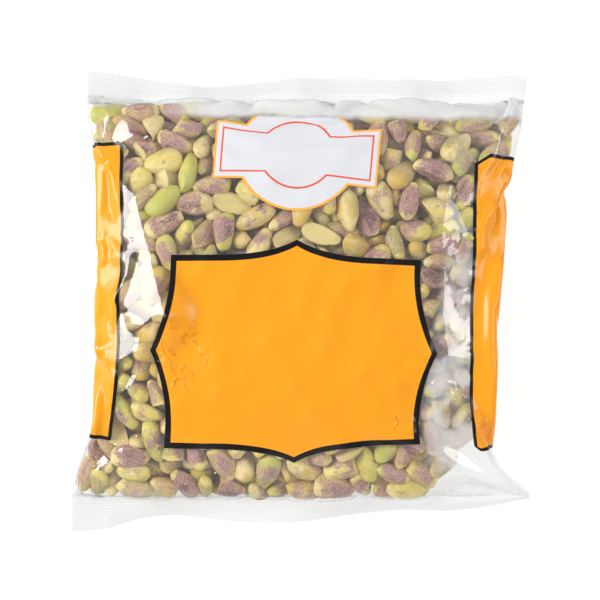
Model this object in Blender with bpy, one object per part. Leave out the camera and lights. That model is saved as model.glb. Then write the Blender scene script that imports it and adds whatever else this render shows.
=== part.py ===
"""A sealed pillow bag of shelled pistachio kernels, lying on its back.

Units are metres. +X runs across the bag, +Y towards its top seal, +Z up. The origin is on the
table under the middle of the bag.

The bag is one web of clear film. It is wrapped into a tube whose two long edges lap at the
middle of the back, and each end of the tube is welded flat in a ribbed crimp seal. Inside lie
the kernels. Most of them are packed in a heap, which is modelled as one solid of its outer
shape. The kernels of the rim, which lie singly between the heap and the film, are separate.
"""

import math

import bmesh
import bpy
from mathutils import Euler, Vector

# The bag, laid flat.
FLAT_WIDTH = 0.185
BAG_LENGTH = 0.182
SEAL_DEPTH = 0.012
# The bag, filled.
BAG_HEIGHT = 0.034
SEAL_LEVEL = 0.010  # height of both seals above the table
CREASE_SHARE = 0.035  # share of the film's girth that its creases take up where the bag is fullest
BODY_HALF = BAG_LENGTH / 2 - SEAL_DEPTH
# The film.
FILM = 0.0001
FLAT_TUBE = 0.0006  # thickness of the pressed tube where it enters a seal
LAP_HALF = 0.005  # half the overlap of the back seam
LAP_GAP = 0.0001
LAP_RAMP = 0.003  # run in which the inner lap steps up over the outer one
# How square the filled tube is: the exponents of the superellipses of its cross-section and length.
TOP_SQUARENESS = 2.9
BACK_SQUARENESS = 2.3
END_SQUARENESS = 2.8
# The part of the back that the table presses flat.
PRESSED_HALF_WIDTH = 0.056
REST_SHARE = 0.60  # share of the body's length that lies on the table
LIFT_POWER = 1.5  # how slowly the back leaves the table beyond it
# The crimp seals.
SEAL_THICKNESS = 0.0008
RIB_PITCH = 0.0016
RIB_HEIGHT = 0.00025
SEAL_ROOT = 0.0015  # plain strip that takes in the end of the tube
# The kernels.
KERNEL_LENGTH = 0.0160
KERNEL_WIDTH = 0.0084
KERNEL_THICKNESS = 0.0078
KERNEL_TAPER = 0.16  # how much slimmer the root end is than the crown
RIM_INSET = 0.0085  # from the edge of the body to the middle of a rim kernel
RIM_PITCH = 0.0185  # from one rim kernel to the next
RIM_CORNER = 5.0  # exponent of the rounded square along which they lie
RIM_TILT = math.radians(9)
RIM_YAW = math.radians(13)
# The bottom right corner, which no kernel has slid into: the way to it and where the fill ends.
EMPTY_CORNER_WAY = math.radians(-38)
FILL_REACH = 0.081
HEAP_INSET = 0.0150  # from the edge of the body to the heap
HEAP_CLEARANCE = 0.0012  # between the heap and the film over it
# Resolution.
BODY_STATIONS = 30
QUARTER_STEPS = 9
HEAP_STATIONS = 20
HEAP_STEPS = 36
KERNEL_SEGMENTS = 10
KERNEL_RINGS = 7

FILM_LOOK = ("clear_film", (0.93, 0.94, 0.95, 0.25), 0.08)
HEAP_LOOK = ("kernel_heap", (0.45, 0.38, 0.16, 1.0), 0.6)
KERNEL_LOOK = ("kernel_skin", (0.42, 0.30, 0.22, 1.0), 0.55)


def clear_scene():
    for old in list(bpy.data.objects):
        bpy.data.objects.remove(old)


def material(name, colour, roughness):
    """A Principled material, made once for each name."""
    made = bpy.data.materials.get(name)
    if made:
        return made
    made = bpy.data.materials.new(name)
    made.use_nodes = True
    shader = made.node_tree.nodes["Principled BSDF"]
    shader.inputs["Base Color"].default_value = colour
    shader.inputs["Roughness"].default_value = roughness
    shader.inputs["Alpha"].default_value = colour[3]
    return made


def object_from(name, points, faces, look):
    mesh = bpy.data.meshes.new(name)
    mesh.from_pydata(points, [], faces)
    mesh.update()
    mesh.shade_smooth()
    mesh.set_sharp_from_angle(angle=math.radians(40))
    made = bpy.data.objects.new(name, mesh)
    made.data.materials.append(material(*look))
    bpy.context.scene.collection.objects.link(made)
    return made


def superellipse(angle, exponent):
    """A point of the unit superellipse, in its own two axes."""
    across, up = math.cos(angle), math.sin(angle)
    power = 2 / exponent
    return (
        math.copysign(abs(across) ** power, across),
        math.copysign(abs(up) ** power, up),
    )


def crown_at(y):
    """How far the tube is swollen at y: 1 at the middle of the bag and 0 at the seals."""
    return (1 - min(abs(y) / BODY_HALF, 1.0) ** END_SQUARENESS) ** (1 / 2)


def body_levels(y):
    """The heights of the back and the front of the filled tube at its middle line."""
    v = min(abs(y) / BODY_HALF, 1.0)
    lift = max(0.0, (v - REST_SHARE) / (1 - REST_SHARE)) ** LIFT_POWER
    back = (SEAL_LEVEL - FLAT_TUBE / 2) * lift
    front = SEAL_LEVEL + FLAT_TUBE / 2
    front += (BAG_HEIGHT - front) * crown_at(y)
    return back, front


def outline(half_width, back, front, inset=0.0):
    """One cross-section from the right end of the pressed back round to the left end of it. Each
    point is (x, z), inset from the film's outer face."""
    middle = (back + front) / 2
    wide = half_width - inset
    path = []
    for step in range(-QUARTER_STEPS, 3 * QUARTER_STEPS + 1):
        angle = step * math.pi / 2 / QUARTER_STEPS
        if 0 <= angle <= math.pi:
            x, z = superellipse(angle, TOP_SQUARENESS)
            path.append((x * wide, middle + z * (front - middle - inset)))
        else:
            x, z = superellipse(angle, BACK_SQUARENESS)
            beyond = math.copysign(PRESSED_HALF_WIDTH, x) + x * (wide - PRESSED_HALF_WIDTH)
            path.append((beyond, middle + z * (middle - back - inset)))
    return path


def girth(path):
    closed = path + path[:1]
    return sum(math.dist(a, b) for a, b in zip(closed, closed[1:]))


def half_width_at(y):
    """The half width at which the cross-section's girth is that of the flat tube less its creases."""
    back, front = body_levels(y)
    goal = 2 * FLAT_WIDTH * (1 - CREASE_SHARE * crown_at(y))
    low, high = FLAT_WIDTH / 4, FLAT_WIDTH / 2
    for _ in range(40):
        half_width = (low + high) / 2
        if girth(outline(half_width, back, front)) < goal:
            low = half_width
        else:
            high = half_width
    return half_width


def web_section(y, inset):
    """One face of the web at y, from the edge of the outer lap round to that of the inner lap."""
    back, front = body_levels(y)
    level = back + inset
    inner_lap = level + FILM + LAP_GAP
    around = outline(half_width_at(y), back, front, inset)
    outer_lap = [(x, level) for x in (-LAP_HALF, 0.0, LAP_HALF)]
    step = [(-LAP_HALF - LAP_RAMP - 0.001, level), (-LAP_HALF - 0.001, inner_lap)]
    inner = [(x, inner_lap) for x in (-LAP_HALF + 0.001, 0.0, LAP_HALF)]
    return [Vector((x, y, z)) for x, z in outer_lap + around + step + inner]


def body_stations(half_length, count):
    """Places along the bag, closer together towards both seals."""
    return [-half_length * math.cos(math.pi * i / count) for i in range(count + 1)]


def film_tube():
    """The wrapped web between the seals, as one closed wall with its ends inside the seals."""
    reach = BODY_HALF + SEAL_ROOT * 0.6
    ends = [-reach] + body_stations(BODY_HALF, BODY_STATIONS) + [reach]
    outer = [web_section(y, 0.0) for y in ends]
    inner = [web_section(y, FILM) for y in ends]
    across, along = len(outer[0]), len(ends)
    points = [p for row in outer + inner for p in row]

    def at(face, station, k):
        return (face * along + station) * across + k

    faces = []
    for j in range(along - 1):
        for k in range(across - 1):
            faces.append((at(0, j, k), at(0, j + 1, k), at(0, j + 1, k + 1), at(0, j, k + 1)))
            faces.append((at(1, j, k), at(1, j, k + 1), at(1, j + 1, k + 1), at(1, j + 1, k)))
        last = across - 1
        faces.append((at(0, j, 0), at(1, j, 0), at(1, j + 1, 0), at(0, j + 1, 0)))
        faces.append((at(0, j, last), at(0, j + 1, last), at(1, j + 1, last), at(1, j, last)))
    for k in range(across - 1):
        end = along - 1
        faces.append((at(0, 0, k), at(0, 0, k + 1), at(1, 0, k + 1), at(1, 0, k)))
        faces.append((at(0, end, k), at(1, end, k), at(1, end, k + 1), at(0, end, k + 1)))
    return object_from("film_bag", points, faces, FILM_LOOK)


def seal_plate(name, side):
    """A crimp seal at the end of the tube: a flat band with ribs that run across the bag."""
    half = SEAL_THICKNESS / 2
    root = BODY_HALF
    front = [(root, half), (root + SEAL_ROOT, half)]
    ribs = int((SEAL_DEPTH - 2 * SEAL_ROOT) / RIB_PITCH)
    for rib in range(ribs):
        start = root + SEAL_ROOT + rib * RIB_PITCH
        front.append((start + RIB_PITCH * 0.5, half - RIB_HEIGHT))
        front.append((start + RIB_PITCH, half))
    front.append((root + SEAL_DEPTH, half))
    # The ribs of one jaw press between those of the other, so the band keeps its thickness.
    back = [(y, z - SEAL_THICKNESS) for y, z in front]
    profile = front + back[::-1]
    points = []
    for x in (-FLAT_WIDTH / 2, FLAT_WIDTH / 2):
        points += [Vector((x, side * y, SEAL_LEVEL + z)) for y, z in profile]
    count = len(profile)
    faces = []
    for k in range(count):
        follow = (k + 1) % count
        faces.append((k, follow, count + follow, count + k))
    strips = len(front) - 1
    for k in range(strips):
        quad = (k, k + 1, count - 2 - k, count - 1 - k)
        faces.append(quad[::-1])
        faces.append(tuple(count + corner for corner in quad))
    plate = object_from(name, points, faces, FILM_LOOK)
    recalculate_normals(plate)
    return plate


def recalculate_normals(piece):
    work = bmesh.new()
    work.from_mesh(piece.data)
    bmesh.ops.recalc_face_normals(work, faces=work.faces)
    work.to_mesh(piece.data)
    work.free()


def film_bag():
    """The film: the tube with a seal welded to each end."""
    bag = film_tube()
    recalculate_normals(bag)
    for name, side in (("top_seal_weld", 1), ("bottom_seal_weld", -1)):
        plate = seal_plate(name, side)
        plate.hide_render = True
        plate.display_type = "WIRE"
        weld = bag.modifiers.new(name, "BOOLEAN")
        weld.operation = "UNION"
        weld.object = plate
    return bag


def kernel_heap():
    """The packed kernels as one solid: the space under the film, less the row along its rim."""
    half_length = BODY_HALF - HEAP_INSET
    points = []
    for y in body_stations(half_length, HEAP_STATIONS)[1:-1]:
        back, front = body_levels(y)
        end = (1 - (abs(y) / half_length) ** END_SQUARENESS) ** (1 / END_SQUARENESS)
        wide = (half_width_at(y) - HEAP_INSET) * end
        floor = back + FILM * 2 + LAP_GAP + HEAP_CLEARANCE
        roof = front - FILM - HEAP_CLEARANCE
        middle = (floor + roof) / 2
        for step in range(HEAP_STEPS):
            x, z = superellipse(2 * math.pi * step / HEAP_STEPS, TOP_SQUARENESS)
            points.append(Vector((x * wide, y, middle + z * (roof - middle) * end)))
    rows = len(points) // HEAP_STEPS
    faces = []
    for j in range(rows - 1):
        for k in range(HEAP_STEPS):
            follow = (k + 1) % HEAP_STEPS
            low, high = j * HEAP_STEPS, (j + 1) * HEAP_STEPS
            faces.append((low + k, high + k, high + follow, low + follow))
    faces.append(tuple(range(HEAP_STEPS)))
    faces.append(tuple(reversed(range(len(points) - HEAP_STEPS, len(points)))))
    heap = object_from("kernel_heap", points, faces, HEAP_LOOK)
    recalculate_normals(heap)
    return heap


def kernel_mesh():
    """One shelled kernel along its own X: a plump oval, slimmer at the root end and a little flat."""
    work = bmesh.new()
    bmesh.ops.create_uvsphere(
        work, u_segments=KERNEL_SEGMENTS, v_segments=KERNEL_RINGS, radius=0.5
    )
    for vertex in work.verts:
        across, up, along = vertex.co
        slim = 1 - KERNEL_TAPER * (0.5 - along)
        vertex.co = Vector(
            (
                along * KERNEL_LENGTH,
                across * KERNEL_WIDTH * slim,
                up * KERNEL_THICKNESS * slim,
            )
        )
    work.normal_update()
    bmesh.ops.recalc_face_normals(work, faces=work.faces)
    mesh = bpy.data.meshes.new("kernel")
    work.to_mesh(mesh)
    work.free()
    mesh.shade_smooth()
    mesh.materials.append(material(*KERNEL_LOOK))
    return mesh


def rim_path(fine_steps=720):
    """Points of the rounded square on which the rim kernels lie, and the distance to each."""
    reach = BODY_HALF - RIM_INSET
    points, distance = [], [0.0]
    for step in range(fine_steps + 1):
        x, y = superellipse(2 * math.pi * step / fine_steps, RIM_CORNER)
        y *= reach
        points.append(Vector((x * (half_width_at(y) - RIM_INSET), y)))
    for a, b in zip(points, points[1:]):
        distance.append(distance[-1] + (b - a).length)
    return points, distance


def rim_kernels():
    """The single row of kernels round the heap, each end to end with the next."""
    mesh = kernel_mesh()
    points, distance = rim_path()
    count = int(distance[-1] / RIM_PITCH)
    placed = 0
    for number in range(count):
        goal = distance[-1] * number / count
        after = next(i for i, d in enumerate(distance) if d > goal)
        here, along = points[after - 1], points[after] - points[after - 1]
        if here.x * math.cos(EMPTY_CORNER_WAY) + here.y * math.sin(EMPTY_CORNER_WAY) > FILL_REACH:
            continue
        back, front = body_levels(here.y)
        wide = half_width_at(here.y)
        room = (1 - min(abs(here.x) / wide, 1.0) ** TOP_SQUARENESS) ** (1 / TOP_SQUARENESS)
        middle = (back + front) / 2
        roof = middle + (front - middle) * room
        floor = back + FILM * 2 + LAP_GAP
        sway = math.sin(2.4 * number)
        placed += 1
        kernel = bpy.data.objects.new(f"kernel_{placed:02d}", mesh)
        kernel.location = (here.x, here.y, (floor + roof) / 2)
        kernel.rotation_euler = Euler(
            (0.0, RIM_TILT * math.cos(1.7 * number), math.atan2(along.y, along.x) + RIM_YAW * sway)
        )
        bpy.context.scene.collection.objects.link(kernel)


clear_scene()
film_bag()
kernel_heap()
rim_kernels()
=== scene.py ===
# %% [markdown]
# # A sealed bag of shelled pistachio kernels
#
# The object is a clear pillow bag. One web of film is wrapped into a tube, its ends are crimped flat
# in ribbed seals, and several hundred shelled kernels fill it. It lies on its back. The looks depend
# on three things, and the lesson takes them in this order: the kernels and the way they lie, the film
# that is drawn over them, and the prints and reflections on the film.

import bpy
import numpy as np
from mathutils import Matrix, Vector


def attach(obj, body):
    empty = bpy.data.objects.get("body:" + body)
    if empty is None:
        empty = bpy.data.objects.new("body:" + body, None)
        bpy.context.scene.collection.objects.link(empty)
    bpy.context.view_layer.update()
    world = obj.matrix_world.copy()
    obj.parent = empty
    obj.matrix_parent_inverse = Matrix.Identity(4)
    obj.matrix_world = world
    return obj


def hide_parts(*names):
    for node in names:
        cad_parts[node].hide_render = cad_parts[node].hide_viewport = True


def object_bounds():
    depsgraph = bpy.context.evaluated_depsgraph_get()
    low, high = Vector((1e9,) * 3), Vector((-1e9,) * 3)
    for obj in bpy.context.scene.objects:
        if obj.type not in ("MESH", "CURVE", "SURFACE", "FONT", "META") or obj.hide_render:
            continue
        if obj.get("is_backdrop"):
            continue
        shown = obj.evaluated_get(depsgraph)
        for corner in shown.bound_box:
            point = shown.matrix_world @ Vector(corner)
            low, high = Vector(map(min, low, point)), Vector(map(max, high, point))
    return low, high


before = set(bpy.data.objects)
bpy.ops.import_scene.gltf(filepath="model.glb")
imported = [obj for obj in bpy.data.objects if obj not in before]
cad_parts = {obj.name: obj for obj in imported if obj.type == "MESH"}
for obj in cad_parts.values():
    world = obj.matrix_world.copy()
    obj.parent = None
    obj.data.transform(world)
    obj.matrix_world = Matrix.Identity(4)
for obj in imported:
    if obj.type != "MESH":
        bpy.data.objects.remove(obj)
cad_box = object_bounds()
MM = 0.001
print("CAD box", [round(float(side) / MM, 1) for side in cad_box[1] - cad_box[0]], "mm")

# %% [markdown]
# ## The form of the filled bag
#
# The CAD film gives the size of the bag at every place along it: half its width, and the heights of its
# front and its back. Reading them from the CAD solid keeps both models in step. A real bag is a little
# crooked: this one is gathered at its top left, sags to the left in its middle and flares at its lower
# corners. So a few offsets move its two sides off the CAD's. Everything else, such as where a kernel
# may lie and where the film starts from, follows from these curves.

# %% Read the form from the CAD film


def node_points(node):
    """The vertices of a CAD node, as an array of points."""
    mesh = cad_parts[node].data
    points = np.empty(len(mesh.vertices) * 3)
    mesh.vertices.foreach_get("co", points)
    return points.reshape(-1, 3)


SEAL_DEPTH = 12 * MM
PRESSED_HALF_WIDTH = 56 * MM
FRONT_POWER = 2.9  # how square the section is above and below its sides: 2 would be an ellipse
BACK_POWER = 2.3

film_points = node_points("film_bag")
flat_width = cad_box[1].x - cad_box[0].x
body_half = cad_box[1].y - SEAL_DEPTH
station_of = np.round(film_points[:, 1], 5)
stations = np.array([y for y in np.unique(station_of) if abs(y) < body_half + 0.1 * MM])
at_station = [film_points[station_of == y] for y in stations]
station_width = np.array([points[:, 0].max() for points in at_station])
station_front = np.array([points[:, 2].max() for points in at_station])
station_back = np.array([points[:, 2].min() for points in at_station])
print("stations", len(stations), "widest", round(station_width.max() * 2 / MM, 1), "mm")

# %% The sides, the front and the back at any place along the bag
# How far each side stands outside the CAD's, in mm, at places along the bag in mm.
SIDE_PLACES = (-79, -76, -72, -66, -60, -50, -30, 0, 20, 45, 60, 70, 79)
LEFT_OFFSETS = (-0.6, 0.4, 1.4, 0.8, 0.0, -1.4, 0.2, 0.2, -0.8, -1.8, -2.6, -4.4, -7.2)
RIGHT_OFFSETS = (0.2, 0.4, -4.0, -8.4, -8.0, -6.2, -4.2, -2.8, -1.0, 0.2, 0.6, 0.4, -2.0)


def sides_at(y):
    """Where the left and the right side of the bag are at y."""
    wide = np.interp(y, stations, station_width)
    places = np.array(SIDE_PLACES) * MM
    left = -wide - np.interp(y, places, np.array(LEFT_OFFSETS) * MM)
    right = wide + np.interp(y, places, np.array(RIGHT_OFFSETS) * MM)
    return left, right


def width_at(y):
    left, right = sides_at(y)
    return (right - left) / 2


def centre_at(y):
    left, right = sides_at(y)
    return (right + left) / 2


def front_at(y):
    return np.interp(y, stations, station_front)


def back_at(y):
    return np.interp(y, stations, station_back)


print("sides at the middle", *(round(float(side) / MM, 1) for side in sides_at(0.0)), "mm")

# %% [markdown]
# ## How the kernels lie
#
# Kernels poured into a bag don't lie at random angles through each other: they rest on each other. Two
# ways to get that are Blender's rigid bodies and a small solver of one's own. Rigid bodies would need
# hundreds of hulls inside a closed one, which is slow and seldom gives the same heap twice. So each
# kernel is taken as three balls in a row, one large and two small, and a loop moves the balls apart
# where they overlap, back into the bag where they leave it, and down a little each time. The kernels
# that CAD places along the rim keep their places, and the others settle around them.

# %% Sizes of the kernels
KERNEL_LENGTH = 16.0 * MM
KERNEL_WIDTH = 10.0 * MM
KERNEL_THICKNESS = 8.0 * MM
BALL_MIDDLE = 4.0 * MM
BALL_END = 3.3 * MM
BALL_REACH = 4.4 * MM  # from the middle of a kernel to its end balls
FILM_CLEARANCE = 0.5 * MM
END_CLEARANCE = 1.6 * MM  # before both seals
EMPTY_CORNER_WAY = np.radians(-38)  # towards the bottom right corner, which stays empty
FILL_REACH = 88 * MM
LOOSE_KERNELS = 880

rim_nodes = sorted(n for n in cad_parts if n.startswith("kernel_") and n != "kernel_heap")


def rim_axis(node):
    """The middle of a rim kernel and the way of its long axis, from its CAD solid."""
    points = node_points(node)
    middle = (points.min(0) + points.max(0)) / 2
    axis = np.linalg.svd(points - points.mean(0), full_matrices=False)[2][0]
    return middle, axis


print("rim kernels", len(rim_nodes))

# %% The room inside the bag
MOUTH_HEIGHT = 2.2  # radii of height that a ball needs where the bag closes
FARTHEST = 1.5  # shares past the film at which a ball's way back is no longer worked out


def into_room(balls, radius):
    """How far each ball has to move to lie inside the film."""
    thickness = station_front - station_back
    mouth = stations >= 0
    limit = np.interp(MOUTH_HEIGHT * radius + FILM_CLEARANCE, thickness[mouth][::-1], stations[mouth][::-1])
    y, z = np.clip(balls[:, 1], -limit + END_CLEARANCE, limit - END_CLEARANCE), balls[:, 2]
    centre = centre_at(y)
    x = balls[:, 0] - centre
    wide = width_at(y) - radius - FILM_CLEARANCE
    top = front_at(y) - radius - FILM_CLEARANCE
    bottom = back_at(y) + radius + FILM_CLEARANCE
    middle = (top + bottom) / 2
    tall = np.maximum(top - middle, 0.1 * MM)
    u = np.minimum(np.abs(x) / wide, FARTHEST)
    v = np.minimum(np.abs(z - middle) / tall, FARTHEST)
    power = np.where(z > middle, FRONT_POWER, FRONT_POWER + 1)
    over = np.maximum(u**power + v**power - 1, 0)
    slope_x = power * u ** (power - 1) / wide * np.sign(x)
    slope_z = power * v ** (power - 1) / tall * np.sign(z - middle)
    step = over / (slope_x**2 + slope_z**2 + 1e-9)
    inside = np.stack([x + centre - step * slope_x, y, z - step * slope_z], axis=1)
    corner = np.array([np.cos(EMPTY_CORNER_WAY), np.sin(EMPTY_CORNER_WAY), 0])
    beyond = np.maximum(inside @ corner - (FILL_REACH - radius), 0)
    return inside - beyond[:, None] * corner - balls


print("room at the middle", round(width_at(0.0) * 2 / MM, 1), "by", round(front_at(0.0) / MM, 1), "mm")

# %% Where the kernels start
RIM_SIZE = 0.92

draw = np.random.default_rng(14)
rim_middles, rim_axes = zip(*(rim_axis(node) for node in rim_nodes))
count = LOOSE_KERNELS + len(rim_nodes)
size = np.clip(draw.normal(1.0, 0.07, count), 0.82, 1.14)
size[LOOSE_KERNELS:] = RIM_SIZE
middle = np.empty((count, 3))
middle[:LOOSE_KERNELS, 1] = draw.uniform(-0.9, 0.9, LOOSE_KERNELS) * body_half
widths = width_at(middle[:LOOSE_KERNELS, 1])
middle[:LOOSE_KERNELS, 0] = draw.uniform(-0.88, 0.88, LOOSE_KERNELS) * widths
middle[:LOOSE_KERNELS, 2] = draw.uniform(0.1, 0.9, LOOSE_KERNELS) * station_front.max()
rim = np.array(rim_middles)
widened = width_at(rim[:, 1]) / np.interp(rim[:, 1], stations, station_width)
rim[:, 0] = centre_at(rim[:, 1]) + rim[:, 0] * widened
middle[LOOSE_KERNELS:] = rim
axis = draw.normal(size=(count, 3)) * (1, 1, 0.45)
axis[LOOSE_KERNELS:] = rim_axes
axis /= np.linalg.norm(axis, axis=1)[:, None]
free = (np.arange(count) < LOOSE_KERNELS).astype(float)[:, None]
print("kernels", count, "sizes from", size.min().round(2), "to", size.max().round(2))

# %% Push overlapping kernels apart


def touching(middle, reach):
    """Pairs of kernels near enough to touch, as two lists of numbers."""
    apart = np.linalg.norm(middle[:, None] - middle[None], axis=2)
    first, second = np.nonzero(apart < reach)
    keep = first < second
    return first[keep], second[keep]


def pushes(first, second, balls, radii):
    """What each ball of each kernel has to move so that no two overlap: balls is (3, count, 3)."""
    moved = np.zeros_like(balls)
    for a in range(3):
        for b in range(3):
            way = balls[a][first] - balls[b][second]
            apart = np.linalg.norm(way, axis=1) + 1e-9
            overlap = np.maximum(radii[a][first] + radii[b][second] - apart, 0)
            hit = overlap > 0
            push = way[hit] * (overlap[hit] / apart[hit] / 2)[:, None]
            for k in range(3):
                moved[a, :, k] += np.bincount(first[hit], push[:, k], count)
                moved[b, :, k] -= np.bincount(second[hit], push[:, k], count)
    return moved


first, second = touching(middle, KERNEL_LENGTH)
print("pairs that start nearer than a kernel's length", len(first))

# %% Settle the kernels
SETTLE_STEPS = 600
GROW_STEPS = SETTLE_STEPS // 3  # the balls start small and reach their size in these steps
START_GROWN = 0.45
NEIGHBOUR_STEPS = 6
NEIGHBOUR_REACH = KERNEL_LENGTH * 1.25
FALL, FALL_SHARE = 0.05 * MM, 0.85  # how far a kernel falls in a step, and the share of steps it falls in
GIVE = 0.42  # share of an overlap that one step takes back
WALL_GIVE = 0.8

ends = np.stack([middle - axis * BALL_REACH, middle + axis * BALL_REACH])
for step in range(SETTLE_STEPS):
    grown = min(1.0, START_GROWN + (1 - START_GROWN) * step / GROW_STEPS)
    reach = BALL_REACH * size[:, None]
    middle = ends.mean(0)
    axis = (ends[1] - ends[0]) / np.linalg.norm(ends[1] - ends[0], axis=1)[:, None]
    balls = np.stack([middle - axis * reach, middle, middle + axis * reach])
    radii = np.stack([BALL_END * size, BALL_MIDDLE * size, BALL_END * size]) * grown
    if step % NEIGHBOUR_STEPS == 0:
        first, second = touching(middle, NEIGHBOUR_REACH)
    moved = pushes(first, second, balls, radii) * GIVE
    for k in range(3):
        moved[k] += into_room(balls[k], radii[k]) * WALL_GIVE
    moved *= free
    fall = np.array([0, 0, -FALL]) * free * (step < SETTLE_STEPS * FALL_SHARE)
    ends = np.stack([balls[0] + moved[0] + moved[1] / 2, balls[2] + moved[2] + moved[1] / 2]) + fall
middle = ends.mean(0)
axis = (ends[1] - ends[0]) / np.linalg.norm(ends[1] - ends[0], axis=1)[:, None]
print("top of the heap", round((middle[:, 2].max() + BALL_MIDDLE) / MM, 1), "mm")

# %% [markdown]
# ## The shape of one kernel
#
# A shelled kernel is a plump oval with a slimmer root end and a slight bend. Its two halves meet in a
# seam round its edge, its skin dries in long wrinkles, and its sides are flattened where it grew
# against the shell. Sculpting a few kernels and copying them would show the copies, because hundreds
# lie side by side. So a function shapes each kernel from its own random numbers: it starts from rings
# of points round the long axis, and each effect moves those points a little. Halves and broken kernels
# are the same form with the points beyond a plane pressed onto it.

# %% The grid of a kernel


def kernel_grid(rings, segments):
    """Angles of every point of the rings, and the corners and sizes of the faces that join them, with
    a fan of triangles at each end."""
    along = np.pi * (np.arange(rings) + 0.6) / (rings + 0.2)
    around = 2 * np.pi * np.arange(segments) / segments
    along, around = np.meshgrid(along, around, indexing="ij")
    start, end = rings * segments, rings * segments + 1
    last = (rings - 1) * segments
    here = np.arange(segments)
    after = (here + 1) % segments
    corners, sizes = [], []
    for ring in range(rings - 1):
        a, b = ring * segments + here, ring * segments + after
        corners.append(np.stack([a, a + segments, b + segments, b], axis=1).ravel())
        sizes += [4] * segments
    corners.append(np.stack([np.full(segments, start), here, after], axis=1).ravel())
    corners.append(np.stack([np.full(segments, end), last + after, last + here], axis=1).ravel())
    sizes += [3] * (2 * segments)
    along = np.append(along.ravel(), [0, np.pi])
    around = np.append(around.ravel(), [0, 0])
    return along, around, np.concatenate(corners), np.array(sizes)


FINE_GRID = kernel_grid(26, 26)
PLAIN_GRID = kernel_grid(11, 12)
print("points of a fine and a plain kernel", len(FINE_GRID[0]), len(PLAIN_GRID[0]))

# %% Shape a kernel
WHOLE, PEELED, HALF, BROKEN = range(4)
ROUGHNESS = {WHOLE: 0.013, PEELED: 0.006, HALF: 0.010, BROKEN: 0.012}
SEAM_DEPTH = {WHOLE: 0.05, PEELED: 0.09, HALF: 0.05, BROKEN: 0.05}
SEAM_WIDTH = 0.14
LUMPS = 0.020
FLATS = 7  # sides pressed flat by the shell
SPLIT_LEVEL = -0.015  # where a half kernel ends, in kernel lengths


def ripples(number, turns, twist, around, x, draw):
    """A sum of waves round a kernel, twisted along it."""
    height = np.zeros_like(x)
    for _ in range(number):
        wave = draw.integers(*turns) * around + draw.uniform(-twist, twist) * x + draw.uniform(0, 7)
        height += np.sin(wave)
    return height


def kernel_shape(kind, grid, draw):
    """Points of one kernel in its own axes, in kernel lengths, and where bare flesh shows on it."""
    along, around = grid[:2]
    x = -np.cos(along)
    girth = np.sin(along) ** draw.uniform(0.62, 0.84)
    girth = girth * (0.87 + 0.15 * x - 0.08 * x**2 + draw.normal(0, 0.03) * x)
    facing = np.cos(around) if kind == PEELED else np.sin(around)
    seam = np.exp(-((facing / SEAM_WIDTH) ** 2)) * np.sin(along)
    wrinkle = ripples(9, (5, 15), 3, around, x, draw)
    lump = ripples(5, (1, 4), 4, around, x, draw)
    girth = girth * (1 + ROUGHNESS[kind] * wrinkle + LUMPS * lump - SEAM_DEPTH[kind] * seam)
    slim = draw.uniform(0.90, 1.18)
    y = girth * np.cos(around) * slim * KERNEL_WIDTH / KERNEL_LENGTH / 2
    z = girth * np.sin(around) * KERNEL_THICKNESS / KERNEL_LENGTH / 2
    points = np.stack([x / 2, y, z], axis=1)
    points[:, 1] += draw.uniform(-0.05, 0.05) * (1 - 4 * points[:, 0] ** 2)
    points[:, 2] += draw.uniform(-0.03, 0.03) * (1 - 4 * points[:, 0] ** 2)
    for _ in range(FLATS):
        way = draw.normal(size=3) * (0.7, 1, 1)
        way /= np.linalg.norm(way)
        reach = points @ way
        proud = np.maximum(reach - reach.max() * draw.uniform(0.80, 0.93), 0)
        points -= proud[:, None] * way * 0.8
    bare = np.zeros(len(points))
    if kind == HALF:
        face = points[:, 2] < SPLIT_LEVEL
        dish = 0.02 * (1 - np.clip(4 * points[:, 0] ** 2 + girth**2 * 0.6, 0, 1))
        points[face, 2] = (SPLIT_LEVEL + dish + 0.002 * wrinkle)[face]
        bare[face] = 1
    if kind == BROKEN:
        way = np.array([1, draw.uniform(-0.7, 0.7), draw.uniform(-0.9, 0.9)])
        way /= np.linalg.norm(way)
        cut = points @ way - draw.uniform(0.05, 0.24) - 0.012 * lump * girth
        face = cut > 0
        points -= np.where(face, cut, 0)[:, None] * way
        points[:, 0] += 0.1
        bare[face] = 1
    return points, bare


sample = kernel_shape(WHOLE, FINE_GRID, np.random.default_rng(0))[0]
print("one whole kernel", (np.ptp(sample, axis=0) * KERNEL_LENGTH / MM).round(1), "mm")

# %% Deal out the kinds, and find which kernels show
KIND_SHARES = (0.54, 0.24, 0.12, 0.10)

kinds = draw.choice(4, count, p=KIND_SHARES)
roll = draw.normal(0, 0.6, count) + np.pi * draw.integers(0, 2, count)
draws = draw.uniform(0, 1, (count, 3))
depth_below = front_at(middle[:, 1]) - middle[:, 2]
edge_room = width_at(middle[:, 1]) - np.abs(middle[:, 0] - centre_at(middle[:, 1]))
end_room = body_half - np.abs(middle[:, 1])
seen = (depth_below < 17 * MM) | (edge_room < 16 * MM) | (end_room < 18 * MM) | (middle[:, 2] < 6 * MM)
print("finely shaped", int(seen.sum()), "of", count)

# %% Turn each kernel to its place
UNDER_FILM = 0.5 * MM  # no kernel reaches lower, as the film is under it


def axes_of(way, turn):
    """A kernel's own axes as rows: its long axis, its width and its thickness, turned by a roll."""
    level = np.cross([0, 0, 1], way)
    level /= np.linalg.norm(level) + 1e-9
    up = np.cross(way, level)
    side = level * np.cos(turn) + up * np.sin(turn)
    return np.stack([way, side, np.cross(way, side)])


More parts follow.
